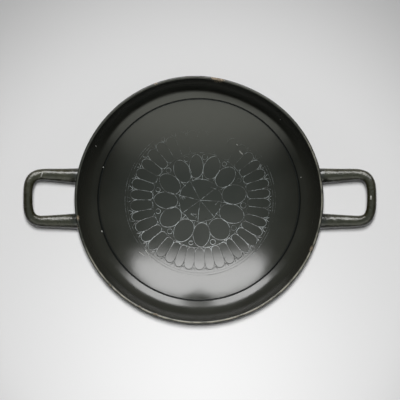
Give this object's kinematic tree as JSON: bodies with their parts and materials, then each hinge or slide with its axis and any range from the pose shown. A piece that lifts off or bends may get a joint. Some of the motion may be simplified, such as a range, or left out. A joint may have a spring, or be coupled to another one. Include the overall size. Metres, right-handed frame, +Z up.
{
  "type": "kylix cup",
  "caption": "Shallow stemless drinking cup with an offset lip, a low ring foot and loop handles at its sides, in black-gloss pottery with an incised rosette.",
  "frame": {"origin": "on the cup's axis, at the level of the surface that its foot rests on", "axes": "+X along the handles, +Y across them, +Z up out of the bowl"},
  "size_m": [0.2638, 0.1852, 0.0487],
  "materials": {
    "black_gloss_clay": "glossy black slip on fired clay, olive in places, worn to tan clay at the rim"
  },
  "bodies": {
    "root": {"kylix_cup": "black_gloss_clay"}
  },
  "joints": []
}
